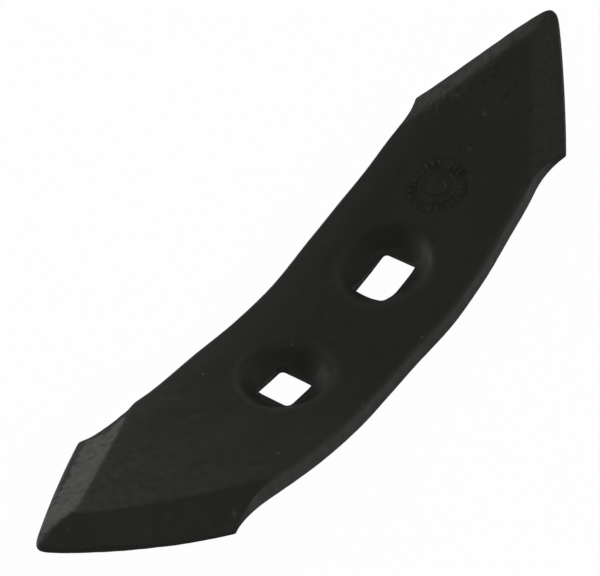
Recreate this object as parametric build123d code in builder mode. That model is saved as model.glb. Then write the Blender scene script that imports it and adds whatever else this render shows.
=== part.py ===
from build123d import *
import os
from math import cos, degrees, radians, sin, tan

# Reversible tine share: a forged bar bent to a bow, spear-pointed at both ends,
# with two dished square holes for plough bolts. Millimetres.
# X runs along the bar, Y across it, Z up. The bar lies on its convex back, which
# touches Z = 0 at the origin, and its hollow working face looks up.
# Distances along the bar are measured on the hollow face, from its middle.

# The bar
bar_length = 232.2  # between its two points, before they are rounded
bar_thickness = 6.3  # over the middle bend
point_thickness = 5.8  # drawn down at the points
edge_round = 0.8  # all round the bar's section

# Its sides: swelled out by the punching beside the bolt holes, and easing in from there
waist_width = 48.1  # at the middle
bar_width = 49.7  # where it is widest between the shoulders
widest_distance = 21.7  # from the middle
side_radius = 385.0  # of the sides from there to the flares, seen from above

# Its bow: a tight bend over the middle and an easier one out to each point
middle_bend = 88.0  # length of bar in the tight bend
middle_radius = 175.0
end_radius = 244.0

# The spear points
spear_length = 41.0  # from the shoulders to the point, before it is rounded
shoulder_width = 52.0
shoulder_round = 1.2
flare_length = 14.5  # over which the sides run out to the shoulders
edge_bow = 1.0  # rise of each cutting edge above its chord
point_round = 3.0

# The two bevels that sharpen each point and meet in a ridge
bevel_angle = 27.0
bevel_sweep = 27.6  # between the ridge and a bevel's inner edge, seen from above
ridge_length = 12.3  # from the point back to the start of the ridge

# The bolt holes, each a dish in the hollow face with a square hole in its floor
hole_spacing = 45.0
hole_offset = -0.4  # of the midpoint between the holes, along the bar
square_width = 11.7  # across the bar
square_length = 11.6  # along the bar, in the plain hole
slot_length = 16.0  # along the bar, in the hole that lets the share be adjusted
corner_round = 1.3
dish_width = 25.0  # at the hollow face, inside the rounded lip
dish_floor = 14.4
dish_depth = 4.2
lip_round = 1.6

half_length = bar_length / 2
joint = middle_bend / 2
end_bend = half_length - joint
thinning = bar_thickness - point_thickness
hollow_end_radius = 1 / (1 / end_radius - 2 * thinning / end_bend**2)


def tilt_at(distance, outer_radius):
    """Slope of the bar in radians, with outer_radius as its bend beyond the middle one."""
    inner = max(-joint, min(joint, distance))
    return inner / middle_radius + (distance - inner) / outer_radius


def station(distance, outer_radius=end_radius):
    """Plane on the bar's upper side: x along the bar, y across it, z out of the hollow."""
    tilt = tilt_at(distance, outer_radius)
    inner = tilt_at(max(-joint, min(joint, distance)), outer_radius)
    x = middle_radius * sin(inner) + outer_radius * (sin(tilt) - sin(inner))
    rise = middle_radius * (1 - cos(inner)) + outer_radius * (cos(inner) - cos(tilt))
    along, out = (cos(tilt), 0, sin(tilt)), (-sin(tilt), 0, cos(tilt))
    return Plane((x, 0, bar_thickness + rise), x_dir=along, z_dir=out)


def hollow_point(distance):
    """Point of the side profile on the hollow face."""
    place = station(distance, hollow_end_radius).origin
    return place.X, place.Z


def back_point(distance):
    """Point of the side profile on the convex back."""
    place = station(distance).offset(-bar_thickness).origin
    return place.X, place.Z


def dish_section(face, along):
    """Plane across the bar, a distance along it from the middle of a bolt hole."""
    return Plane(face.from_local_coords(Vector(along, 0, 0)), x_dir=face.y_dir, z_dir=face.x_dir)


with BuildPart() as tine_share:
    # Half of the bar, seen from the side
    with BuildSketch(Plane.XZ):
        with BuildLine():
            ThreePointArc(hollow_point(0), hollow_point(joint / 2), hollow_point(joint))
            ThreePointArc(
                hollow_point(joint), hollow_point(joint + end_bend / 2), hollow_point(half_length)
            )
            Line(hollow_point(half_length), back_point(half_length))
            ThreePointArc(
                back_point(half_length), back_point(joint + end_bend / 2), back_point(joint)
            )
            ThreePointArc(back_point(joint), back_point(joint / 2), back_point(0))
            Line(back_point(0), hollow_point(0))
        make_face()
    extrude(amount=shoulder_width, both=True)

    # Its outline, square to the spear: waist, bowed side, flare, shoulder, cutting edge
    spear = station(half_length - spear_length / 2)
    shoulder = Vector(-spear_length / 2, shoulder_width / 2)
    point = Vector(spear_length / 2, 0)
    waist = Vector(spear.to_local_coords(Vector(0, 0, bar_thickness / 2)).X, waist_width / 2)
    widest = Vector(spear.to_local_coords(station(widest_distance).origin).X, bar_width / 2)
    other_widest = Vector(2 * waist.X - widest.X, widest.Y)
    side_turn = degrees((shoulder.X - flare_length - widest.X) / side_radius)
    edge = point - shoulder
    crown = (point + shoulder) / 2 + Vector(-edge.Y, edge.X).normalized() * edge_bow
    with BuildSketch(spear) as outline:
        with BuildLine():
            Spline(other_widest, waist, widest, tangents=((1, 0), (1, 0)))
            side_centre = widest - Vector(0, side_radius)
            side = CenterArc(side_centre, side_radius, 90, -side_turn)
            TangentArc(side @ 1, shoulder, tangent=side % 1)
            ThreePointArc(shoulder, crown, point)
            mirror(about=Plane.XZ)
            Line(other_widest, Vector(other_widest.X, -other_widest.Y))
        make_face()
        shoulders = outline.vertices().filter_by_position(Axis.X, shoulder.X - 0.1, shoulder.X + 0.1)
        fillet(shoulders, shoulder_round)
        fillet(outline.vertices().sort_by(Axis.X)[-1], point_round)
    extrude(amount=bar_length, both=True, mode=Mode.INTERSECT)

    # The long edges of its section, and those of the spear, rounded on both faces
    rims = tine_share.edges().filter_by_position(Axis.X, edge_round, half_length)
    for direction in (Axis.Y, Axis((0, 0, 0), tuple(spear.z_dir))):
        rims = rims.filter_by(direction, reverse=True)
    fillet(rims, edge_round)

    # The bevels: the hollow's own arc, tipped down at the ridge, then carried out
    # and down along the bevel's slope
    ridge_start = half_length - ridge_length
    drop_along = tan(radians(bevel_angle)) * sin(radians(bevel_sweep))
    drop_across = tan(radians(bevel_angle)) * cos(radians(bevel_sweep))
    tipped = tilt_at(ridge_start, hollow_end_radius) - drop_along
    ridge = Plane(
        station(ridge_start, hollow_end_radius).origin,
        x_dir=(cos(tipped), 0, sin(tipped)),
        z_dir=(0, -1, 0),
    )
    reach = degrees(1.5 * spear_length / hollow_end_radius)
    with BuildSketch(ridge, mode=Mode.PRIVATE) as bevel:
        with BuildLine():
            sweep = CenterArc((0, hollow_end_radius), hollow_end_radius, -90 - reach, 1.5 * reach)
            near, far = sweep @ 0, sweep @ 1
            Polyline(far, (far.X, bar_width), (near.X, bar_width), near)
        make_face()
    for way in (1, -1):
        slant = Vector(0, way, 0) - spear.z_dir * drop_across
        extrude(bevel.sketch, amount=shoulder_width, dir=slant, both=True, mode=Mode.SUBTRACT)

    # The other half
    mirror(about=Plane.YZ)

    # The dishes and square holes. A dish is a cone, or two with a straight run
    # between them in the long hole, and starts clear of the hollow face
    clear = dish_width**2 / 8 / middle_radius + lip_round
    spread = (dish_width - dish_floor) / 2 / dish_depth
    flank = (dish_floor / 2, -dish_depth), (dish_width / 2 + spread * clear, clear)
    other_flank = [(-x, y) for x, y in reversed(flank)]
    for way, length in ((1, slot_length), (-1, square_length)):
        face = station(hole_offset + way * hole_spacing / 2)
        run = max(length - square_width, 0)
        if run:
            with BuildSketch(dish_section(face, -run / 2)):
                with BuildLine():
                    Polyline(*flank, *other_flank, close=True)
                make_face()
            extrude(amount=run, mode=Mode.SUBTRACT)
        for end in (-1, 1) if run else (1,):
            section = dish_section(face, end * run / 2)
            with BuildSketch(section):
                with BuildLine():
                    Polyline((0, -dish_depth), *flank, (0, clear), close=True)
                make_face()
            revolve(axis=Axis(section.origin, face.z_dir), mode=Mode.SUBTRACT)
        within = (dish_width + run) / 2 + lip_round
        lip = tine_share.edges().filter_by(GeomType.LINE, reverse=True)
        lip = lip.filter_by(lambda cut: face.to_local_coords(cut.center()).length < within)
        lip = lip.filter_by(lambda cut: face.to_local_coords(cut.center()).Z > -dish_depth / 2)
        fillet(lip, lip_round)
        with BuildSketch(face) as square:
            Rectangle(length, square_width)
            fillet(square.vertices(), corner_round)
        extrude(amount=bar_thickness * 2, both=True, mode=Mode.SUBTRACT)

tine_share.part.label = "tine_share"
os.makedirs("parts", exist_ok=True)
export_step(tine_share.part, "parts/tine_share.step")
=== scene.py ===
"""Dresses the tine share: the forged skin over the CAD bar, its paint, and the photo stage."""

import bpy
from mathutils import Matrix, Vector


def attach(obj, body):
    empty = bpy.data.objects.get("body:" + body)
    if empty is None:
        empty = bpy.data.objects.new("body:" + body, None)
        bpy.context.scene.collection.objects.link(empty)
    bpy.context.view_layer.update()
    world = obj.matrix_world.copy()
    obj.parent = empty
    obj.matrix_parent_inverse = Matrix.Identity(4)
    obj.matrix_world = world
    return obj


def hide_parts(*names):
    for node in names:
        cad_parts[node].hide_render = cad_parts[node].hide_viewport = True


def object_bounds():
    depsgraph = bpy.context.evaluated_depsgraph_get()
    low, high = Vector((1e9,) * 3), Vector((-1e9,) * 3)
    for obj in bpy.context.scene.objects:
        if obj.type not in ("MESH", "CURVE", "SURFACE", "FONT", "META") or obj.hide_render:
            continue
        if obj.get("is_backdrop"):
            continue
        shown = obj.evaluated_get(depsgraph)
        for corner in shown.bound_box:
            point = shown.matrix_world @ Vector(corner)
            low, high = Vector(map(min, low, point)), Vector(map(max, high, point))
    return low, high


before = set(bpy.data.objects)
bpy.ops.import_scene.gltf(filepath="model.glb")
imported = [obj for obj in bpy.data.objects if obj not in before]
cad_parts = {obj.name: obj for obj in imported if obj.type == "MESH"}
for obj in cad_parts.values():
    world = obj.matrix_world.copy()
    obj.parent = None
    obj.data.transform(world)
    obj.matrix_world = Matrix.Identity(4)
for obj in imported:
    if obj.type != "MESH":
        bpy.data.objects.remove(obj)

from types import SimpleNamespace

import bmesh
import bpy
import numpy as np
from bpy.props import FloatProperty, FloatVectorProperty, IntProperty, PointerProperty
from mathutils import Matrix, Vector

bl_info = {
    "name": "Tine share",
    "version": (1, 0, 0),
    "blender": (4, 5, 0),
    "location": "3D View > Sidebar > Tine share",
    "description": "Forges, paints and stages a reversible tine share",
    "category": "Object",
}

MM = 0.001
SHARE = "tine_share_forging"
PAINT = "black paint over forged steel"

# How finely the skin is divided, in numbers of nodes where no unit is named
BAR_SAMPLES = 9601  # along the bar
LOOP_SAMPLES = 12001  # round the outline
RIM_NODES = 430  # along each side, from point to point
MEETING_NODES = 14  # at each point, over which the two rims grow alike
FACE_STEPS = (0.62, 1.2)  # millimetres across the hollow face and the back
RIM_TURN = np.linspace(0, np.pi / 2, 6)  # round the long edges
HOLE_TURN = np.linspace(0, np.pi / 2, 5)  # round the punched edges
WALL_STEPS = np.linspace(0, 1, 6)[1:-1]  # down a wall, between its two rounds
FAN_NODES = (34, 10)  # from a hole to its window's edge, on the hollow face and the back
MARK_NODES = 46  # from the mark's middle to its window's edge
HOLE_WINDOW = (19.5, 17.0)  # half length and half width of a hole's window, in millimetres
MARK_WINDOW = 0.56  # half width of the mark's window, for each millimetre of the mark

# Places on the bar, in millimetres
RIPPLE_STEP = 16.0  # between the places where a side swells
LEAN_START, LEAN_RUN = 85.0, 30.0  # where the points begin to lean, and over what length
EDGE_SLANT = 1.18  # length of a cutting edge for each millimetre along the bar
DISH_PLACE = 22.5  # of the dishes, from the bar's middle
LIP_RADIUS = 13.0  # of the dishes' lips

# The stage
SENSOR_WIDTH = 36  # millimetres
FLOOR_REACH = 3.0  # metres to each side
LAMP_SIZE, LAMP_DISTANCE, LAMP_LIFT = 0.7, 1.2, 0.02  # metres

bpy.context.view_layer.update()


def length(name, description, default):
    """A length property, its default given in millimetres."""
    return FloatProperty(
        name=name, description=description, default=default * MM, unit="LENGTH", precision=5
    )


def lengths(name, description, defaults):
    """A row of lengths, their defaults given in millimetres."""
    return numbers(name, description, [value * MM for value in defaults], unit="LENGTH", precision=5)


def numbers(name, description, default, **settings):
    """A row of numbers."""
    return FloatVectorProperty(
        name=name, description=description, default=default, size=len(default), **settings
    )


def colour(name, description, default):
    """A colour property."""
    return numbers(name, description, default, subtype="COLOR", min=0, max=1)


def direction(name, description, default):
    """A direction property."""
    return numbers(name, description, default, subtype="DIRECTION", precision=6)


def share_of(name, description, default):
    """A property from 0 to 1."""
    settings = {"min": 0, "max": 1, "subtype": "FACTOR"}
    return FloatProperty(name=name, description=description, default=default, **settings)


CORNERS = ": left and right at the long hole's end, then left and right at the plain hole's end"


def corners(name, description, defaults):
    """A row of lengths for the bar's four corners."""
    return lengths(name, description + CORNERS, defaults)


class BarSizes(bpy.types.PropertyGroup):
    """The forged bar: its bow, its sides, its spear points and their bevels"""

    bar_length: length("Bar length", "Between the two points, along the hollow face", 232.61)
    bar_thickness: length("Thickness", "Over the middle bend", 6.3)
    point_thickness: length("Point thickness", "Drawn down at the points", 5.8)
    edge_round: length("Edge round", "Radius along the long edges of the hollow face", 1.2)
    back_round: length("Back edge round", "Radius along the long edges of the back", 0.8)
    cutting_round: corners(
        "Cutting edge rounds", "Radius where a bevel meets its cutting edge", (0.5, 0.3, 0.5, 0.3)
    )
    middle_bend: length("Middle bend", "Length of bar in the tight bend", 88.0)
    middle_radius: length("Middle radius", "Of the hollow face over the middle bend", 173.99)
    end_radius: length("End radius", "Of the hollow face beyond the middle bend", 243.71)
    waist_width: length("Waist width", "At the middle of the bar", 48.16)
    bar_width: length("Bar width", "Where it is widest between the shoulders", 49.91)
    widest_distance: length("Widest at", "Distance of the widest place from the middle", 21.7)
    side_radius: length("Side radius", "Of the sides beyond their widest place", 385.0)
    shoulder_distance: corners(
        "Shoulders from the point", "Measured along the bar", (40.6, 39.93, 43.8, 42.39)
    )
    shoulder_width: corners(
        "Shoulder half widths", "From the bar's middle line", (24.85, 25.67, 27.48, 25.95)
    )
    flare_length: corners(
        "Flares", "Length over which a side runs out to its shoulder", (14.9, 13.49, 15.3, 16.11)
    )
    edge_bow: corners("Edge bows", "Rise of each cutting edge above its chord", (0.5, 0.75, 1.1, 1.5))
    left_ripple: lengths(
        "Left ripple",
        "Swell of the left side at nine even places",
        (1.31, 0.24, 0.45, -0.01, 0.24, 0.22, 0.27, -0.06, 0.35),
    )
    right_ripple: lengths(
        "Right ripple",
        "Swell of the right side at nine even places",
        (0.25, -0.1, -0.12, -0.25, 0.13, 0.24, 0.17, -0.15, 0.34),
    )
    point_shift: lengths("Point shift", "How far each point leans to the left", (-1.0, 0.03))
    point_reach: lengths("Point reach", "How far each point stands past its place", (-0.3, 0.15))
    shoulder_round: length("Shoulder softness", "How far the corners of the outline are smoothed", 0.3)
    point_round: length("Point softness", "How far the points of the outline are smoothed", 3.08)
    ridge_length: corners(
        "Ridge", "From the point back to the start of each bevel's ridge", (8.6, 11.7, 12.9, 12.9)
    )
    bevel_reach: corners(
        "Bevel reach", "From the point to where a bevel runs out at the side", (51.8, 54.0, 59.4, 58.5)
    )
    bevel_angle: FloatProperty(
        name="Bevel angle", description="Slope of the bevels", default=np.radians(27.0), subtype="ANGLE"
    )
    nose_length: length("Nose length", "Of the worn end of each point", 15.0)
    nose_drop: length("Nose drop", "How far the nose falls below the bevels' ridge", 1.1)
    nose_lean: lengths("Nose leans", "How far each ridge bends to the left at the nose", (0.0, 1.7))
    nose_blend: length("Nose blend", "Softness of the ridges at the nose", 0.7)
    edge_draft: corners("Edge draft", "How far the foot of a cutting edge stands out", (0.7, 0.2, 1.0, 0.2))
    bevel_blend: corners("Bevel blends", "Softness of the bevels' inner edges", (0.75, 0.45, 0.1, 0.22))


class HoleSizes(bpy.types.PropertyGroup):
    """The two square bolt holes and the dishes that they stand in, the long hole's first"""

    hole_spacing: length("Hole spacing", "Between the holes, along the bar", 45.0)
    hole_offset: length("Hole offset", "Of the midpoint between the holes", -0.5)
    square_width: lengths("Square widths", "Of the two holes, across the bar", (11.3, 11.4))
    square_length: length("Square length", "Of the plain hole, along the bar", 11.41)
    slot_length: length("Slot length", "Of the long hole, along the bar", 16.1)
    hole_slip: lengths("Hole slips", "Of the two holes off their places, along the bar", (-0.33, 0.0))
    corner_round: length("Corner round", "Of the holes' corners", 1.3)
    dish_width: lengths("Dish widths", "Of the two dishes, inside the lip", (25.0, 23.9))
    dish_run: lengths("Dish runs", "Straight part of the two dishes", (2.6, 0.0))
    dish_slip: lengths(
        "Dish slips", "Of the two dishes off their holes, along and then across", (1.63, -0.7, 0.45, -0.4)
    )
    dish_floor: lengths("Dish floors", "Widths of the two flat floors", (14.2, 14.3))
    dish_depth: length("Dish depth", "Below the hollow face", 4.2)
    lip_blend: length("Lip blend", "Softness of the dishes' lips", 0.42)
    floor_blend: length("Floor blend", "Softness where a dish's flank meets its floor", 0.3)
    hole_round: length("Hole edge round", "Radius of the punched edges", 0.2)


class ForgingFinish(bpy.types.PropertyGroup):
    """Unevenness that the hammer, the rolls and the punch left in the steel"""

    broad_height: length("Broad unevenness", "Height of the long swells", 0.05)
    broad_size: length("Broad size", "Distance between the long swells", 16.0)
    fine_height: length("Fine unevenness", "Height of the short swells", 0.011)
    fine_size: length("Fine size", "Distance between the short swells", 3.4)
    bevel_height: corners(
        "Bevel unevenness", "Extra height of the swells on each bevel", (0.008, 0.022, 0.02, 0.045)
    )
    dent_depth: length("Dent depth", "Of the deepest small dent", 0.32)
    dent_count: IntProperty(name="Dents", description="Small dents in the hollow face", default=70, min=0)
    scar_depth: length("Scar depth", "Of the scars near the long hole's end", 0.62)
    scar_along: lengths(
        "Scars along",
        "Distance of each scar along the bar",
        (79.8, 82.3, 86.0, 89.1, 91.9, 88.9, 78.2, 66.0, 84.8, 83.6),
    )
    scar_across: lengths(
        "Scars across",
        "Distance of each scar from the bar's middle line",
        (11.4, 8.6, 6.2, 4.1, 5.2, -2.9, 0.4, -0.6, -2.2, -11.1),
    )
    mark_size: length("Mark size", "Across the plain struck disc", 19.2)
    mark_depth: length("Mark depth", "Of the plain struck disc", 0.42)
    mark_relief: length("Mark relief", "Height of the rings and ticks in the disc", 0.75)
    mark_ticks: IntProperty(name="Mark ticks", description="Short bars round the disc", default=26, min=3)
    mark_place: lengths("Mark place", "Of the struck disc, along and across the bar", (52.0, 0.9))


class PaintLook(bpy.types.PropertyGroup):
    """Colours and gloss of the black paint"""

    paint: colour("Paint", "The paint where it is whole", (0.0053, 0.0054, 0.0047))
    faded: colour("Faded paint", "The paint where it is thin or dusty", (0.0088, 0.0089, 0.0079))
    # The steel grey also paints light on the bevels that face the light and highlights on the dishes' lips
    steel: colour("Worn bevel", "The grey of a bevel that the paint has left", (0.070, 0.070, 0.067))
    # Painted light: the lighter grey of the rolled sides and the holes' walls, where light falls on them
    lit_side_grey: colour("Side", "The rolled sides, with dust in their grain", (0.045, 0.045, 0.042))
    speck: colour("Speck", "The small light specks", (0.08, 0.08, 0.075))
    roughness: share_of("Roughness", "Of the whole paint", 0.5)
    sheen: share_of("Sheen", "How strongly the matt paint mirrors", 0.23)
    sheen_colour: colour("Sheen colour", "Warmth of the light that the paint mirrors", (1.0, 1.0, 0.92))
    grain: length("Grain", "Height of the fine grain in the paint", 0.03)
    # Painted light: the amounts also lighten the bevels that face the light, beside their wear
    worn_and_lit_bevels: numbers("Worn bevels", "How bare each bevel is" + CORNERS, (0.33, 0.1, 1.0, 0.03))
    edge_corners: numbers(
        "Painted edges",
        "How much paint a worn bevel keeps along its cutting edge" + CORNERS,
        (0.0, 0.0, 1.0, 0.0),
    )
    chips_along: lengths(
        "Chips along", "Distance of each paint chip along the bar", (79.8, 66.2, 77.4, -71.1, -20.5)
    )
    chips_across: lengths(
        "Chips across",
        "Distance of each paint chip from the bar's middle line",
        (11.4, -1.0, 0.4, -22.8, -24.1),
    )


class StageLook(bpy.types.PropertyGroup):
    """Camera, floor and lights of the photograph"""

    camera_place: lengths("Camera", "Where the camera stands", (-260.42, -252.64, 395.47))
    camera_right: direction("Camera right", "To the picture's right", (0.599091, -0.788999, -0.136275))
    camera_back: direction("Camera back", "Out of the picture", (-0.489859, -0.495806, 0.717088))
    lens: FloatProperty(
        name="Lens", description="Focal length for a picture 36 mm wide", default=118.050, subtype="NONE"
    )
    room_light: FloatProperty(name="Room light", description="Strength of the even light", default=0.47)
    white: share_of("White ground", "How far the camera sees the floor as plain white", 0.98)


# Turn and rise of each lamp in degrees, and its power in watts
LAMPS = {
    "back box": (90, 6, 2.9),
    "left box": (120, 6, 1.3),
    "top box": (0, 88, 1.2),
    "high right box": (315, 28, 1.05),
    "right box": (337.5, 6, 1.05),
    "far box": (30, 6, 0.55),
}


def in_millimetres(group):
    """The values of a property group, its lengths in millimetres and its rows as arrays."""
    values = SimpleNamespace()
    for name, prop in group.bl_rna.properties.items():
        if prop.type in {"FLOAT", "INT"}:
            value = getattr(group, name)
            value = np.array(value) if getattr(prop, "is_array", False) else value
            setattr(values, name, value / MM if prop.unit == "LENGTH" else value)
    return values


def eased(x):
    """Smooth step: three x squared less two x cubed, with x held between 0 and 1."""
    x = np.clip(x, 0, 1)
    return x * x * (3 - 2 * x)


def over_corners(row, along, left):
    """A row of four corner values spread over the bar: those of the end that a point lies at,
    mixed by how far left it lies, from 0 to 1."""
    first, second = (np.where(along > 0, row[side], row[2 + side]) for side in (0, 1))
    return second + (first - second) * left


def swells(along, across, size, seed, stretch=1.0):
    """Even random swells of about unit height: the sum of many plane waves of random
    direction and phase, whose lengths lie round size; stretch lengthens them along the bar."""
    waves = 40
    random = np.random.default_rng(seed)
    turn, phase = random.uniform(0, 2 * np.pi, (2, waves))
    wave = 2 * np.pi / (size * random.uniform(0.65, 1.7, waves))
    places = np.outer(np.ravel(along) / stretch, wave * np.cos(turn))
    places = places + np.outer(np.ravel(across), wave * np.sin(turn))
    return (np.sin(places + phase).sum(1) / np.sqrt(waves / 2)).reshape(np.shape(along))


def on_bow(bar, along, across, height):
    """Points on the bowed bar: the hollow face is an arc of the middle radius, with an arc of
    the end radius beyond each end of the middle bend. A point lies its distance along the
    arc, then its height out along the arc's own normal, and its distance across."""
    joint = bar.middle_bend / 2
    inner = np.clip(along, -joint, joint) / bar.middle_radius
    tilt = inner + (along - inner * bar.middle_radius) / bar.end_radius
    x = bar.middle_radius * np.sin(inner) + bar.end_radius * (np.sin(tilt) - np.sin(inner))
    z = bar.middle_radius * (1 - np.cos(inner)) + bar.end_radius * (np.cos(inner) - np.cos(tilt))
    z = bar.bar_thickness + z + height * np.cos(tilt)
    return np.stack([x - height * np.sin(tilt), across + 0 * x, z], -1)


def summed(density, run):
    """The area under a density from the start of a run to each of its points."""
    return np.append(0, np.cumsum((density[1:] + density[:-1]) / 2 * np.diff(run)))


def off_bow(bar, points):
    """The inverse of on_bow: distance along the bar, distance across it and tilt of points, by
    their angle round the centre of the arc that they lie on."""
    x, across, z = points.T
    joint = bar.middle_bend / 2
    turn = joint / bar.middle_radius
    first = np.arctan2(x, bar.middle_radius + bar.bar_thickness - z)
    end = np.sign(x) * (np.abs(first) > turn)
    beyond = np.abs(end) * (bar.end_radius - bar.middle_radius)
    x = x + end * beyond * np.sin(turn)
    z = bar.bar_thickness + bar.middle_radius + beyond * np.cos(turn) - z
    tilt = np.arctan2(x, z)
    return end * joint + (tilt - end * turn) * (bar.middle_radius + beyond), across, tilt


def side_outline(bar, side):
    """Half width against distance along the bar. From the waist it rises in an eased step to
    the widest place, falls on an arc of the side radius, gains a square law over the flare up to
    the shoulder, and then runs straight to the point with a parabola of the edge bow added. The
    ripple adds a squared cosine of its own height at each of its places, and the points lean
    over by a square law."""
    along = np.linspace(-bar.bar_length / 2, bar.bar_length / 2, BAR_SAMPLES)
    corner = lambda row: over_corners(row, along, 1 - side)
    out, widest = np.abs(along), bar.widest_distance
    body = lambda d: np.where(
        d < widest,
        bar.waist_width / 2 + (bar.bar_width - bar.waist_width) / 2 * eased(d / widest),
        bar.bar_width / 2 - np.square(d - widest) / 2 / bar.side_radius,
    )
    shoulder = bar.bar_length / 2 - corner(bar.shoulder_distance)
    half_width = corner(bar.shoulder_width)
    flare = np.clip((out - shoulder) / corner(bar.flare_length) + 1, 0, 1)
    heights = (bar.left_ripple, bar.right_ripple)[side]
    places = (np.arange(len(heights)) - len(heights) // 2) * RIPPLE_STEP
    ripple = np.cos(np.pi / 2 * np.clip((along[:, None] - places) / RIPPLE_STEP, -1, 1)) ** 2 @ heights
    half = body(out) + ripple * (1 - flare**2) + (half_width - body(shoulder)) * flare**2
    edge = np.clip((out - shoulder) / corner(bar.shoulder_distance), 0, 1)
    spear = half_width * (1 - edge) + 4 * corner(bar.edge_bow) * edge * (1 - edge)
    lean = np.where(along > 0, *bar.point_shift) * np.clip((out - LEAN_START) / LEAN_RUN, 0, 1) ** 2
    return along, np.where(out > shoulder, spear, half) + (1, -1)[side] * lean


def smoothed_outline(bar):
    """The closed outline as evenly spaced points, smoothed by a Gaussian along its length:
    narrow along the sides and shoulders, and wider at the two points. With it come outward
    normals, those of a softer outline, so that lines run inward from it never cross."""
    along, left = side_outline(bar, 0)
    right = side_outline(bar, 1)[1]
    loop = np.concatenate([(along + 1j * left)[::-1], (along - 1j * right)[1:-1]])
    ring = np.append(loop, loop[0])
    run = np.append(0, np.cumsum(np.abs(np.diff(ring))))
    even = np.linspace(0, run[-1], LOOP_SAMPLES)[:-1]
    loop = np.interp(even, run, ring.real) + 1j * np.interp(even, run, ring.imag)
    waves = 2 * np.pi * np.fft.fftfreq(len(loop), even[1])
    smooth = lambda width: np.fft.fft(loop) * np.exp(-np.square(waves * width) / 2)
    past_end = np.abs(loop.real) - bar.bar_length / 2
    tip = eased((past_end + 10) / 6)
    soft = 1.2
    normal = np.fft.ifft(smooth(soft) * waves) * (1 - tip)
    normal = normal + np.fft.ifft(smooth(max(soft, bar.point_round)) * waves) * tip
    loop = np.fft.ifft(smooth(bar.shoulder_round)) * (1 - tip) + np.fft.ifft(smooth(bar.point_round)) * tip
    reach = np.where(loop.real > 0, bar.point_reach[0], -bar.point_reach[1])
    loop = loop + reach * eased((np.abs(loop.real) - bar.bar_length / 2 + 14) / 12)
    start = -int(np.argmax(loop.real))
    return np.roll(loop, start), np.roll(normal / np.abs(normal), start)


def rim_rows(bar, side):
    """Nodes of one side of the outline from the long hole's point to the other, and the
    outline's outward normals there, as two rows of pairs. They lie closer together where the
    outline turns: their density is an even one plus a bell at each point and shoulder."""
    loop, normals = smoothed_outline(bar)
    tail = int(np.argmin(loop.real))
    halved = lambda row: row[: tail + 1] if side == 0 else np.append(row[0], row[tail:][::-1])
    half, normal = halved(loop), halved(normals)
    normal[0], normal[-1] = 1, -1
    run = np.append(0, np.cumsum(np.abs(np.diff(half))))
    edges = EDGE_SLANT * bar.shoulder_distance[side::2]
    density = 1.6 + sum(4.0 * np.exp(-np.square((run - at) / 1.6)) for at in (0, run[-1]))
    edges[1] = run[-1] - edges[1]
    density = density + sum(1.5 * np.exp(-np.square((run - at) / 2.5)) for at in edges)
    weight = summed(density, run)
    place = np.interp(np.linspace(0, weight[-1], RIM_NODES), weight, run)
    nodes, out = (
        np.stack([np.interp(place, run, row.real), np.interp(place, run, row.imag)], -1)
        for row in (half, normal)
    )
    return nodes, out / np.linalg.norm(out, axis=-1, keepdims=True)


def hollow_height(bar, along):
    """Height of the hollow face above its own arc: the thinning to the points, by a square law."""
    joint = bar.middle_bend / 2
    out = np.clip((np.abs(along) - joint) / (bar.bar_length / 2 - joint), 0, 1.2)
    return -(bar.bar_thickness - bar.point_thickness) * out**2


def ridge_bend(bar, along):
    """How far a ridge bends to the left: a half sine of the nose lean. With it comes how near
    the point is: 0 where the nose starts, 1 at the point and a little more beyond it."""
    nose = np.clip(1 - (bar.bar_length / 2 - np.abs(along)) / bar.nose_length, 0, 1.2)
    return np.where(along > 0, *bar.nose_lean) * np.sin(np.pi * np.minimum(nose, 1) ** 0.75), nose


def bevel_drop(bar, along, across):
    """How far the bevels drop below the hollow face: the slope times the distance beyond each
    bevel's inner edge, which is a straight line in plan. The face and the two bevels of an end
    are joined by the logarithm of summed exponentials, which rounds the edges between them, and
    rounds them more at the nose, where the ridge bends aside and drops by a square law."""
    drops = [np.zeros(np.shape(along))]
    bend, nose = ridge_bend(bar, along)
    across = across - bend * eased(1.5 - np.abs(across) / 8)
    for corner in range(4):
        end, side = (1, -1)[corner // 2], (1, -1)[corner % 2]
        from_point = bar.bar_length / 2 - end * along
        ridge = bar.ridge_length[corner]
        sweep = np.arctan2(bar.bar_width * 0.457, bar.bevel_reach[corner] - ridge)
        beyond = (ridge - from_point) * np.sin(sweep) + side * across * np.cos(sweep)
        drops.append(np.tan(bar.bevel_angle) * beyond)
    blend = over_corners(bar.bevel_blend, along, eased(across / 6 + 0.5))
    blend = blend + (np.maximum(blend, bar.nose_blend) - blend) * eased(nose * 1.6)
    drops = np.clip(np.stack(drops), -8, 12)
    top = drops.max(0)
    return top + blend * np.log(np.exp((drops - top) / blend).sum(0)) + bar.nose_drop * nose**2


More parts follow.
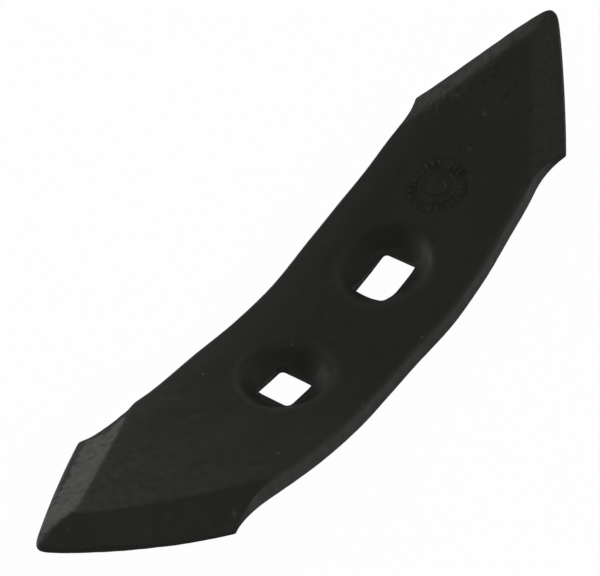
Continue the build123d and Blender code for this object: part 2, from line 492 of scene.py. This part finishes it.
def forged(bar, finish, along, across, bevelled):
    """Height of the forging's unevenness: broad and fine swells, coarser on the bevels, and
    small round dents, which are bells of random place, width and depth, deeper at one end. A
    scar is a short furrow with a burr beside it: a bell times a sine across it."""
    height = finish.broad_height * swells(along, across, finish.broad_size, 3, 1.6)
    rougher = 1 + 1.7 * eased((along - 55) / 20)
    height = height + finish.fine_height * rougher * swells(along, across, finish.fine_size, 5)
    rough = over_corners(finish.bevel_height, along, across > 0)
    height = height + bevelled * rough * swells(along, across, finish.fine_size * 0.8, 7, 1.5)
    random = np.random.default_rng(11)
    for place in random.beta(0.75, 0.6, finish.dent_count) * 2 - 1:
        x = np.sign(place) * (40 + 64 * abs(place))
        y = random.uniform(-19, 19)
        wide = random.uniform(0.45, 1.3)
        deep = finish.dent_depth * random.uniform(0.2, 1) * min(1, wide) * (1 if x > 0 else 0.4)
        far = np.square((along - x) / random.uniform(1, 1.8)) + np.square(across - y)
        height = height - deep * np.exp(-far / 2 / wide**2)
    for x, y in zip(finish.scar_along, finish.scar_across):
        lean = random.uniform(-0.6, 0.6)
        run = (along - x) * np.cos(lean) + (across - y) * np.sin(lean)
        off = (across - y) * np.cos(lean) - (along - x) * np.sin(lean)
        scar = np.exp(-np.square(run / random.uniform(0.9, 2.1)) - np.square(off / 0.85))
        height = height + finish.scar_depth * scar * np.sin(1.7 * off)
    return height


def top_height(bar, finish, along, across):
    """Height of the working side: the hollow face less the bevels, with the forging's unevenness."""
    drop = bevel_drop(bar, along, across)
    return hollow_height(bar, along) - drop + forged(bar, finish, along, across, eased(drop / 0.6))


def back_height(bar, finish, along, across):
    """Height of the convex back: one thickness below the arc, with broad and fine swells."""
    height = 1.3 * finish.broad_height * swells(along, across, finish.broad_size, 17, 1.6)
    return height - bar.bar_thickness + finish.fine_height * swells(along, across, finish.fine_size, 19)


def spaced(width, step, fine, margin):
    """Fractions from 0 to 1 across a width: even steps, with finer ones near both ends."""
    run = np.linspace(0, width, 2001)
    ends = np.exp(-np.square(run / margin)) + np.exp(-np.square((width - run) / margin))
    density = 1 / step + (1 / fine - 1 / step) * ends
    weight = summed(density, run)
    return np.interp(np.linspace(0, weight[-1], int(round(weight[-1])) + 1), weight, run / width)


def paint_marks(bar, look, points, normals):
    """What the paint needs to know at each point, from 0 to 1: how worn it is on a bevel or a
    nose, with painted light on the bevels that face the light; how far the paint is worn through
    by rubbing along the rims or chipped, with painted highlights on the dishes' lips; how far it
    lies on the bar's sides or in a hole, which paints light on them; and how far along the bar."""
    along, across, tilt = off_bow(bar, points)
    faces_up = -normals[:, 0] * np.sin(tilt) + normals[:, 2] * np.cos(tilt)
    on_top = eased((faces_up - 0.25) / 0.3)
    drop = bevel_drop(bar, along, across)
    from_point = bar.bar_length / 2 - np.abs(along)
    outline, left_half = side_outline(bar, 0)
    right_half = side_outline(bar, 1)[1]
    halves = [np.interp(along, outline, half) for half in (left_half, right_half)]
    inside = np.where(across > 0, *halves) - np.abs(across)

    # Worn bevels and noses, less the strip of paint that a worn bevel keeps along its edge. The amount
    # for each bevel is also painted light: the bevels that face the light are made lighter, most of all
    # the left one at the plain hole's end
    bend, nose = ridge_bend(bar, along)
    left = eased((across - bend) / (0.6 + 3 * np.minimum(nose, 1)) + 0.5)
    bare_and_lit, kept = (over_corners(row, along, left) for row in (look.worn_and_lit_bevels, look.edge_corners))
    strip = (0.5 + 2.7 * np.clip(from_point / 44, 0, 1)) * (1 + 0.14 * swells(along, across, 4, 31))
    kept = kept * eased((1 - inside / strip) / 0.3 + 0.5)
    bevel = eased(drop / 0.5 - 0.4) * on_top * eased((faces_up - 0.66) / 0.16) * (1 - kept)
    tip = eased((5 - from_point) / 3) * eased((faces_up + 0.3) / 0.3)
    worn = np.maximum(bevel, 0.8 * tip) * bare_and_lit

    # Rubbing along the rims, the chips, and painted highlights on the dishes' lips: two crescents
    # on each lip, where it faces along the light
    rubbed_and_highlight = np.where(across > 0, 0.12 * eased(1 - inside / 11), 0.16 * eased(1 - inside / 1.8))
    rubbed_and_highlight = rubbed_and_highlight * on_top * (1 - eased(drop / 0.4))
    past_hole = np.abs(along) - DISH_PLACE
    hole = np.hypot(past_hole, across)
    # Painted highlight: the lip is lightened most on the two sides that face along the light
    toward_light = np.square((across * 0.79 - past_hole * np.sign(along) * 0.61) / np.maximum(hole, 1))
    lip = 0.16 * np.exp(-np.square((hole - LIP_RADIUS) / 1.3)) * toward_light**2 * on_top
    rubbed_and_highlight = np.maximum(rubbed_and_highlight, lip)
    for x, y in zip(look.chips_along, look.chips_across):
        chip = np.exp(-(np.square(along - x) + np.square(across - y)) / 0.3)
        rubbed_and_highlight = np.maximum(rubbed_and_highlight, 0.55 * chip * eased(faces_up))

    # Painted light: the sides and the holes' walls are marked for a lighter grey, as where light falls on
    # them, less on the spear and in the holes
    side = eased((0.7 - np.abs(faces_up)) / 0.35) * (1 - 0.9 * eased(drop / 1.6 - 1.1))
    side = side * np.where(hole < 12, 0.85, 1)
    along = np.clip(along / bar.bar_length + 0.5, 0, 1)
    return {"worn": worn, "rubbed_and_highlight": rubbed_and_highlight, "side": side, "along": along}


class Skin:
    """Gathers grids of points into one mesh."""

    def __init__(self):
        self.points, self.faces, self.triangles, self.count = [], [], [], 0

    def grid(self, points, keep=None, closed=False):
        """Adds a grid of points, rows by columns, with a face for each cell. keep leaves out
        cells that aren't wanted, and closed joins the last column to the first."""
        rows, columns = points.shape[:2]
        number = self.count + np.arange(rows * columns).reshape(rows, columns)
        if closed:
            number = np.concatenate([number, number[:, :1]], 1)
        cells = np.stack([number[:-1, :-1], number[:-1, 1:], number[1:, 1:], number[1:, :-1]], -1)
        self.faces.append(cells[keep] if keep is not None else cells.reshape(-1, 4))
        self.points.append(points.reshape(-1, 3))
        self.count += rows * columns

    def belt(self, *rings):
        """Joins two closed rings, each given as its points and their angles, whose points
        needn't match, by a belt of triangles: going round by angle, each new point makes a
        triangle with the last point of either ring."""
        order, steps = [], []
        for ring, (points, turns) in enumerate(rings):
            order.append((self.count + np.argsort(turns)).tolist())
            steps += [(turn, ring, place) for place, turn in enumerate(np.sort(turns))]
            self.points.append(points)
            self.count += len(points)
        last = [row[-1] for row in order]
        for _, ring, place in sorted(steps):
            self.triangles.append([*last, order[ring][place]])
            last[ring] = order[ring][place]

    def mesh(self, name, bar, look):
        """The finished mesh in metres, its touching points merged and its faces outward, with
        its bevels, sides and wear marked point by point for the paint."""
        made = bpy.data.meshes.new(name)
        points, faces = np.concatenate(self.points) * MM, np.concatenate(self.faces)
        made.from_pydata(points.tolist(), [], faces.tolist() + self.triangles)
        work = bmesh.new()
        work.from_mesh(made)
        bmesh.ops.remove_doubles(work, verts=work.verts, dist=2e-6)
        bmesh.ops.recalc_face_normals(work, faces=work.faces)
        work.to_mesh(made)
        work.free()
        made.shade_smooth()
        points, normals = (np.empty(3 * len(made.vertices)) for _ in range(2))
        made.vertices.foreach_get("co", points)
        made.vertices.foreach_get("normal", normals)
        marks = paint_marks(bar, look, points.reshape(-1, 3) / MM, normals.reshape(-1, 3))
        for label, values in marks.items():
            row = made.attributes.new(label, "FLOAT", "POINT").data
            row.foreach_set("value", values.astype(np.float32))
        return made


def rounded_square(length, width, corner, angle):
    """Distance from the middle of a rounded rectangle to its edge, in each direction: its four
    quarter circles and the straight lines between them, read off by angle."""
    middle = (length / 2 - corner) + 1j * (width / 2 - corner)
    quarter = middle + corner * np.exp(1j * np.linspace(0, np.pi / 2, 60))
    loop = np.concatenate([quarter, -quarter.conj()[::-1], -quarter, quarter.conj()[::-1]])
    loop = np.append(loop, loop[0])
    fraction = np.linspace(0, 1, 12)[:-1]
    dense = (loop[:-1, None] * (1 - fraction) + loop[1:, None] * fraction).ravel()
    order = np.argsort(np.angle(dense))
    return np.interp(angle, np.angle(dense)[order], np.abs(dense)[order], period=2 * np.pi)


def window_loop(points, rows, columns):
    """The points round the edge of a window of a grid, in order."""
    r0, r1 = rows
    c0, c1 = columns
    return np.concatenate([points[r0, c0:c1], points[r0:r1, c1], points[r1, c1:c0:-1], points[r1:r0:-1, c0]])


def hole_frame(bar, holes, which):
    """Middle of a hole on the hollow face, its directions along, across and out, its distance
    along the bar, its length and its width."""
    at = holes.hole_offset + (1, -1)[which] * holes.hole_spacing / 2 + holes.hole_slip[which]
    tilt = at / bar.middle_radius
    origin = on_bow(bar, at, 0.0, 0.0)
    axes = np.array([[np.cos(tilt), 0, np.sin(tilt)], [0, 1, 0], [-np.sin(tilt), 0, np.cos(tilt)]])
    return origin, axes, at, (holes.slot_length, holes.square_length)[which], holes.square_width[which]


def dished(bar, holes, along, across, which):
    """Height of the dished face in a hole's own frame: the hollow arc, the cone of the dish
    that rises outward from its floor, and the floor, joined by soft least and soft most."""
    arc = bar.middle_radius - np.sqrt(bar.middle_radius**2 - np.square(along))
    slip = holes.dish_slip[which::2]
    run = np.maximum(np.abs(along - slip[0]) - holes.dish_run[which] / 2, 0)
    spread = (holes.dish_width[which] - holes.dish_floor[which]) / 2 / holes.dish_depth
    cone = (np.hypot(run, across - slip[1]) - holes.dish_floor[which] / 2) / spread - holes.dish_depth
    floor = np.full_like(cone, -holes.dish_depth)
    cone = np.logaddexp(cone / holes.floor_blend, floor / holes.floor_blend) * holes.floor_blend
    return -np.logaddexp(-cone / holes.lip_blend, -arc / holes.lip_blend) * holes.lip_blend


def add_hole(skin, bar, holes, finish, which, top_loop, back_loop):
    """One hole: fans of straight lines run from the window's edge in to the punched edge on
    both faces. Rings go down its wall from the upper quarter round, and a belt of triangles
    joins the last of them to the lower quarter round."""
    origin, axes, at, size, width = hole_frame(bar, holes, which)
    soft = holes.hole_round

    def ring(angle, grown):
        reach = rounded_square(size + 2 * grown, width + 2 * grown, holes.corner_round + grown, angle)
        return reach * np.cos(angle), reach * np.sin(angle)

    def placed(a, b, height):
        return origin + a[..., None] * axes[0] + b[..., None] * axes[1] + height[..., None] * axes[2]

    def fan(loop, rows, surface):
        local = (loop - origin) @ axes.T
        angle = np.arctan2(local[:, 1], local[:, 0])
        a0, b0 = ring(angle, soft)
        step = np.linspace(0, 1, rows)[:, None]
        a, b = a0 * (1 - step) + local[:, 0] * step, b0 * (1 - step) + local[:, 1] * step
        height = surface(a, b)
        points = placed(a, b, height)
        points[-1] = loop
        skin.grid(points, closed=True)
        return angle, height[0]

    distance = lambda a: at + bar.middle_radius * np.arcsin(a / bar.middle_radius)
    outer = bar.middle_radius + bar.bar_thickness
    back_arc = lambda a: outer - np.sqrt(outer**2 - np.square(a))
    top = lambda a, b: dished(bar, holes, a, b, which) + forged(bar, finish, distance(a), b, 0)
    under = lambda a, b: back_arc(a) + back_height(bar, finish, distance(a), b)
    angle, lip = fan(top_loop, FAN_NODES[0], top)
    back_angle, back_lip = fan(back_loop, FAN_NODES[1], under)
    under_lip = np.interp(angle, np.sort(back_angle), back_lip[np.argsort(back_angle)], period=2 * np.pi)
    rings, lower = [], []
    for turn in HOLE_TURN:
        a, b = ring(angle, soft * (1 - np.sin(turn)))
        rings.append(placed(a, b, lip - soft * (1 - np.cos(turn))))
    for share in WALL_STEPS:
        a, b = ring(angle, 0)
        rings.append(placed(a, b, (lip - soft) * (1 - share) + (under_lip + soft) * share))
    for turn in HOLE_TURN[::-1]:
        a, b = ring(back_angle, soft * (1 - np.sin(turn)))
        lower.append(placed(a, b, back_lip + soft * (1 - np.cos(turn))))
    skin.grid(np.stack(rings), closed=True)
    skin.grid(np.stack(lower), closed=True)
    skin.belt((rings[-1], angle), (lower[0], back_angle))


def add_mark(skin, bar, finish, loop, loop_flat):
    """A plain struck disc, on straight lines from the window's edge in to its middle: a shallow
    round recess with a soft rim, and in it two raised rings with a circle of short raised bars
    round them, each bar a cosine round the disc cut off between two radii."""
    middle = finish.mark_place
    step = np.linspace(0, 1, MARK_NODES)[:, None]
    along, across = (middle[axis] * (1 - step) + loop_flat[:, axis] * step for axis in (0, 1))
    off = np.hypot(along - middle[0], across - middle[1]) / (finish.mark_size / 2)
    turn = np.arctan2(across - middle[1], along - middle[0])
    sunk = -finish.mark_depth * eased((1.03 - off) / 0.16)
    ring = 0.6 * eased(1 - np.abs(off - 0.56) / 0.08) + 0.6 * eased(1 - np.abs(off - 0.25) / 0.1)
    bars = eased(0.5 + 0.9 * np.cos(finish.mark_ticks * turn))
    bars = bars * eased((0.93 - off) / 0.06) * eased((off - 0.64) / 0.06)
    worn = np.clip(0.85 + 0.3 * swells(along, across, 5.5, 23), 0.1, 1.2)
    height = top_height(bar, finish, along, across) + sunk + finish.mark_relief * worn * (ring + bars)
    points = on_bow(bar, along, across, height)
    points[-1] = loop
    skin.grid(points, closed=True)


def edge_sizes(bar, finish, nodes, side):
    """Radius of the upper round along one rim, radius of the lower one, and how far the foot of
    the wall stands out. The wall sets a limit to each, and the foot stands out on the spear
    alone, half as far at the shoulder and not at all at the point."""
    along, across = nodes.T
    corner = lambda row: over_corners(row, along, 1 - side)
    from_point = bar.bar_length / 2 - np.abs(along)
    top = top_height(bar, finish, along * 0.999, across * 0.995)
    wall = np.maximum(top - back_height(bar, finish, along, across), 0.25)
    spear = eased(bevel_drop(bar, along, across) / 1.2)
    rounds = corner(bar.cutting_round) * (0.35 + 0.65 * eased(from_point / 40))
    upper = np.minimum(bar.edge_round * (1 - spear) + rounds * spear, 0.4 * wall)
    at_shoulder = np.exp(-np.square((from_point - corner(bar.shoulder_distance)) / 2.5))
    draft = corner(bar.edge_draft) * (1 - 0.5 * at_shoulder) * spear * np.minimum(wall / 1.5, 1)
    return upper, np.minimum(bar.back_round, 0.45 * wall), draft * eased(from_point / 9)


def forge_skin(bar, holes, finish):
    """The share's whole skin. Rows of nodes follow the outline from point to point. On each
    face straight lines join the left rim to the right one, a profile of two quarter rounds and
    a wall goes round each rim, and fans fill the windows left for the holes and the mark."""
    skin = Skin()
    rims = [rim_rows(bar, side) for side in (0, 1)]
    sizes = [edge_sizes(bar, finish, rims[side][0], side) for side in (0, 1)]
    from_end = np.minimum(np.arange(RIM_NODES), np.arange(RIM_NODES)[::-1])
    near = 1 - eased(from_end / MEETING_NODES)
    sizes = [
        [mine + (other - mine) / 2 * near for mine, other in zip(*pair)] for pair in (sizes, sizes[::-1])
    ]

    faces = []
    for back, height in enumerate((top_height, back_height)):
        across = spaced(bar.bar_width, FACE_STEPS[back], fine=0.3, margin=1.2)[None, :, None]
        inset = [
            nodes - out * (lower if back else upper + draft)[:, None]
            for (nodes, out), (upper, lower, draft) in zip(rims, sizes)
        ]
        flat = inset[0][:, None] * (1 - across) + inset[1][:, None] * across
        rise = height(bar, finish, flat[..., 0], flat[..., 1])
        faces.append((flat, rise, on_bow(bar, flat[..., 0], flat[..., 1], rise)))

    for side, (nodes, out) in enumerate(rims):
        upper, lower, draft = (row[:, None] for row in sizes[side])
        top, under = (face[1][:, -side][:, None] for face in faces)
        start, end = top - upper, under + lower
        turned_in, turned_off = 1 - np.sin(RIM_TURN), 1 - np.cos(RIM_TURN)
        off = [draft + upper * turned_in, draft * (1 - WALL_STEPS), lower * turned_in[::-1]]
        rise = [top - upper * turned_off, start + (end - start) * WALL_STEPS]
        rise.append(under + lower * turned_off[::-1])
        flat = nodes[:, None] - out[:, None] * np.concatenate(off, 1)[..., None]
        skin.grid(on_bow(bar, flat[..., 0], flat[..., 1], np.concatenate(rise, 1)))

    windows = [(hole_frame(bar, holes, which)[2], 0.0, *HOLE_WINDOW) for which in (0, 1)]
    windows.append((*finish.mark_place, *[MARK_WINDOW * finish.mark_size] * 2))
    loops = []
    for back, (flat, _, points) in enumerate(faces):
        keep = np.ones((flat.shape[0] - 1, flat.shape[1] - 1), bool)
        middle = flat[:, flat.shape[1] // 2, 0]
        for along, across, reach, wide in windows[: 2 if back else 3]:
            rows = np.flatnonzero(np.abs(middle - along) < reach)[[0, -1]]
            line = flat[rows.sum() // 2, :, 1]
            columns = np.flatnonzero(np.abs(line - across) < wide)[[0, -1]]
            keep[rows[0] : rows[1], columns[0] : columns[1]] = False
            loops.append([window_loop(grid, rows, columns) for grid in (points, flat)])
        skin.grid(points, keep=keep)
    long_top, plain_top, mark_edge, long_back, plain_back = loops
    add_hole(skin, bar, holes, finish, 0, long_top[0], long_back[0])
    add_hole(skin, bar, holes, finish, 1, plain_top[0], plain_back[0])
    add_mark(skin, bar, finish, *mark_edge)
    return skin


def node(tree, kind, **inputs):
    """Adds a shader node after the others, six to a row, and sets its inputs and its plain
    settings by name."""
    row, column = divmod(len(tree.nodes), 6)
    made = tree.nodes.new(kind)
    made.location = (220 * column, -300 * row)
    for name, value in inputs.items():
        if name in made.inputs:
            made.inputs[name].default_value = value
        else:
            setattr(made, name, value)
    return made


def black_paint(look):
    """Semi-matt black paint over uneven forged steel: cloudy and faded in patches, worn through
    on the bevels in a mottle, with painted light on the bevels that face the light, painted
    highlights on the dishes' lips and a painted lighter grey on the rolled sides, with fine
    grain and light specks."""
    paint = bpy.data.materials.new(PAINT)
    paint.use_nodes = True
    tree = paint.node_tree
    link = tree.links.new
    shader = tree.nodes["Principled BSDF"]
    shader.inputs["Specular IOR Level"].default_value = look.sheen
    shader.inputs["Specular Tint"].default_value = (*look.sheen_colour, 1)
    place = node(tree, "ShaderNodeTexCoord").outputs["Object"]

    def noise(scale, detail, rough, stretch=None):
        made = node(tree, "ShaderNodeTexNoise", Scale=scale, Detail=detail, Roughness=rough)
        source = place
        if stretch:
            mapping = node(tree, "ShaderNodeMapping", Scale=stretch)
            link(place, mapping.inputs["Vector"])
            source = mapping.outputs["Vector"]
        link(source, made.inputs["Vector"])
        return made.outputs["Fac"]

    def ramp(value, low, high, to_low=0.0, to_high=1.0):
        made = node(tree, "ShaderNodeMapRange", interpolation_type="SMOOTHSTEP")
        feed(made.inputs, (value, low, high, to_low, to_high))
        return made.outputs["Result"]

    def feed(sockets, values):
        for socket, value in zip(sockets, values):
            if isinstance(value, bpy.types.NodeSocket):
                link(value, socket)
            else:
                socket.default_value = value

    def maths(operation, *values):
        made = node(tree, "ShaderNodeMath", operation=operation)
        feed(made.inputs, values)
        return made.outputs[0]

    def mixed(factor, first, second):
        made = node(tree, "ShaderNodeMix", data_type="RGBA")
        feed([made.inputs[place] for place in (0, 6, 7)], (factor, first, (*second, 1)))
        return made.outputs[2]

    # The worn, rubbing and side marks carry painted light as well as wear
    worn, rubbed_and_highlight, side, along = (
        node(tree, "ShaderNodeAttribute", attribute_name=name).outputs["Fac"]
        for name in ("worn", "rubbed_and_highlight", "side", "along")
    )

    # The paint, faded in clouds and towards both points
    clouds = noise(70, 4, 0.6, (0.6, 1, 1))
    patches = noise(420, 3, 0.6)
    faded = ramp(maths("MULTIPLY", clouds, patches), 0.17, 0.34)
    faded = maths("MAXIMUM", faded, ramp(along, 0.42, 0.1, 0, 0.75))
    faded = maths("MAXIMUM", faded, ramp(along, 0.72, 0.9, 0, 0.6))
    coat = mixed(faded, (*look.paint, 1), look.faded)

    # Steel grey where the paint is worn through, by rubbing or in chips; it is also painted light on
    # the bevels that face the light and painted highlights on the dishes' lips
    mottle = noise(560, 5, 0.62)
    streak = noise(260, 3, 0.55, (1, 3.2, 1))
    bare_and_lit = ramp(maths("ADD", mottle, streak), 0.75, 1.2, 0.5, 1.35)
    bare_and_lit = maths("MULTIPLY", worn, bare_and_lit)
    coat = mixed(maths("ADD", bare_and_lit, rubbed_and_highlight), coat, look.steel)

    # Dust in the grain of the sides
    # Painted light on the sides: the rolled sides and the holes' walls are made a lighter grey where light
    # falls on them, broken up by a grain pattern
    rolled = ramp(noise(300, 4, 0.6, (1, 1, 0.35)), 0.3, 0.72, 0.55, 1.0)
    coat = mixed(maths("MULTIPLY", side, rolled), coat, look.lit_side_grey)

    # A few light specks
    cells = node(tree, "ShaderNodeTexVoronoi", Scale=400)
    link(place, cells.inputs["Vector"])
    dots = ramp(cells.outputs["Distance"], 0.16, 0.06)
    tone = node(tree, "ShaderNodeSeparateColor")
    link(cells.outputs["Color"], tone.inputs[0])
    rare = ramp(tone.outputs[0], 0.965, 0.985)
    coat = mixed(maths("MULTIPLY", dots, rare), coat, look.speck)
    link(coat, shader.inputs["Base Color"])

    gloss = ramp(patches, 0.3, 0.7, look.roughness - 0.05, look.roughness + 0.09)
    gloss = maths("ADD", gloss, maths("MULTIPLY", worn, 0.12))
    link(gloss, shader.inputs["Roughness"])

    # The grain, coarser where it is worn, and pits in clusters near the upper point
    fine = noise(2600, 3, 0.6)
    rough = maths("MULTIPLY", fine, 0.35)
    rough = maths("ADD", rough, noise(620, 4, 0.65))
    torn = maths("MULTIPLY", maths("MULTIPLY", mottle, worn), 1.6)
    rough = maths("ADD", rough, torn)
    pits = ramp(noise(480, 2, 0.5, (0.6, 1, 1)), 0.55, 0.68)
    clusters = ramp(noise(90, 2, 0.5), 0.46, 0.62)
    few = maths("MULTIPLY", clusters, ramp(along, 0.68, 0.82))
    pits = maths("MULTIPLY", maths("MULTIPLY", pits, few), 5.0)
    bump = node(tree, "ShaderNodeBump", Distance=look.grain, Strength=1.0)
    link(maths("SUBTRACT", rough, pits), bump.inputs["Height"])
    link(bump.outputs["Normal"], shader.inputs["Normal"])
    return paint


class SHARE_OT_forge(bpy.types.Operator):
    """Makes the forged skin of the share over its CAD solid"""

    bl_idname = "share.forge"
    bl_label = "Forge the share"

    def execute(self, context):
        scene = context.scene
        sizes = [in_millimetres(group) for group in (scene.share_bar, scene.share_holes, scene.share_finish)]
        look = scene.share_paint
        made = forge_skin(*sizes).mesh(SHARE, sizes[0], in_millimetres(look))
        share = bpy.data.objects.new(SHARE, made)
        scene.collection.objects.link(share)
        made.materials.append(black_paint(look))
        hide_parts("tine_share")
        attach(share, "root")
        return {"FINISHED"}


class SHARE_OT_stage(bpy.types.Operator):
    """Sets the camera, the floor and the lights"""

    bl_idname = "share.stage"
    bl_label = "Set the stage"

    def execute(self, context):
        scene = context.scene
        look = scene.share_stage
        right, back = Vector(look.camera_right).normalized(), Vector(look.camera_back).normalized()
        lens = bpy.data.cameras.new("photo camera")
        lens.sensor_width, lens.lens = SENSOR_WIDTH, look.lens
        lens.clip_start, lens.clip_end = 0.01, 50
        camera = bpy.data.objects.new("photo camera", lens)
        turned = Matrix((right, back.cross(right), back)).transposed()
        camera.matrix_world = Matrix.Translation(look.camera_place) @ turned.to_4x4()
        scene.collection.objects.link(camera)
        scene.camera = camera
        scene.view_settings.view_transform = "Standard"

        world = bpy.data.worlds.new("studio")
        scene.world = world
        world.use_nodes = True
        tree = world.node_tree
        tree.nodes["Background"].inputs["Color"].default_value = (1, 1, 1, 1)
        light = node(tree, "ShaderNodeLightPath")
        strength = node(tree, "ShaderNodeMix", data_type="FLOAT")
        strength.inputs[2].default_value, strength.inputs[3].default_value = look.room_light, 1.0
        tree.links.new(light.outputs["Is Camera Ray"], strength.inputs["Factor"])
        tree.links.new(strength.outputs[0], tree.nodes["Background"].inputs["Strength"])

        floor_mesh = bpy.data.meshes.new("floor")
        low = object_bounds()[0][2]
        corners = [(x * FLOOR_REACH, y * FLOOR_REACH, low) for x, y in ((-1, -1), (1, -1), (1, 1), (-1, 1))]
        floor_mesh.from_pydata(corners, [], [(0, 1, 2, 3)])
        floor = bpy.data.objects.new("floor", floor_mesh)
        scene.collection.objects.link(floor)
        pale = bpy.data.materials.new("pale floor")
        pale.use_nodes = True
        tree = pale.node_tree
        shader = tree.nodes["Principled BSDF"]
        shader.inputs["Base Color"].default_value = (0.8, 0.8, 0.8, 1)
        shader.inputs["Roughness"].default_value = 0.9
        glow = node(tree, "ShaderNodeEmission", Strength=1.0)
        light = node(tree, "ShaderNodeLightPath")
        mix = node(tree, "ShaderNodeMixShader")
        part = node(tree, "ShaderNodeMath", operation="MULTIPLY")
        part.inputs[1].default_value = look.white
        for start, end in (
            (light.outputs["Is Camera Ray"], part.inputs[0]),
            (part.outputs[0], mix.inputs["Fac"]),
            (shader.outputs[0], mix.inputs[1]),
            (glow.outputs[0], mix.inputs[2]),
            (mix.outputs[0], tree.nodes["Material Output"].inputs["Surface"]),
        ):
            tree.links.new(start, end)
        floor_mesh.materials.append(pale)
        floor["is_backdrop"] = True

        for name, (*aim, power) in LAMPS.items():
            turn, rise = np.radians(aim)
            toward_light = Vector((np.cos(turn) * np.cos(rise), np.sin(turn) * np.cos(rise), np.sin(rise)))
            lamp = bpy.data.lights.new(name, "AREA")
            lamp.shape, lamp.size, lamp.energy = "DISK", LAMP_SIZE, power
            holder = bpy.data.objects.new(name, lamp)
            stand = Matrix.Translation(toward_light * LAMP_DISTANCE + Vector((0, 0, LAMP_LIFT)))
            holder.matrix_world = stand @ toward_light.to_track_quat("Z", "Y").to_matrix().to_4x4()
            scene.collection.objects.link(holder)
        return {"FINISHED"}


class SHARE_PT_panel(bpy.types.Panel):
    """Lists the share's sizes, looks and steps"""

    bl_idname = "SHARE_PT_panel"
    bl_label = "Tine share"
    bl_space_type = "VIEW_3D"
    bl_region_type = "UI"
    bl_category = "Tine share"

    def draw(self, context):
        for name, sizes in GROUPS.items():
            box = self.layout.box()
            for size in sizes.__annotations__:
                box.prop(getattr(context.scene, name), size)
        for step in (SHARE_OT_forge, SHARE_OT_stage):
            self.layout.operator(step.bl_idname)


GROUPS = {
    "share_bar": BarSizes,
    "share_holes": HoleSizes,
    "share_finish": ForgingFinish,
    "share_paint": PaintLook,
    "share_stage": StageLook,
}
CLASSES = (*GROUPS.values(), SHARE_OT_forge, SHARE_OT_stage, SHARE_PT_panel)


def register():
    for made in CLASSES:
        bpy.utils.register_class(made)
    for name, group in GROUPS.items():
        setattr(bpy.types.Scene, name, PointerProperty(type=group))


def unregister():
    for name in GROUPS:
        delattr(bpy.types.Scene, name)
    for made in reversed(CLASSES):
        bpy.utils.unregister_class(made)


def main():
    register()
    bpy.ops.share.forge()
    bpy.ops.share.stage()


if __name__ == "__main__":
    main()
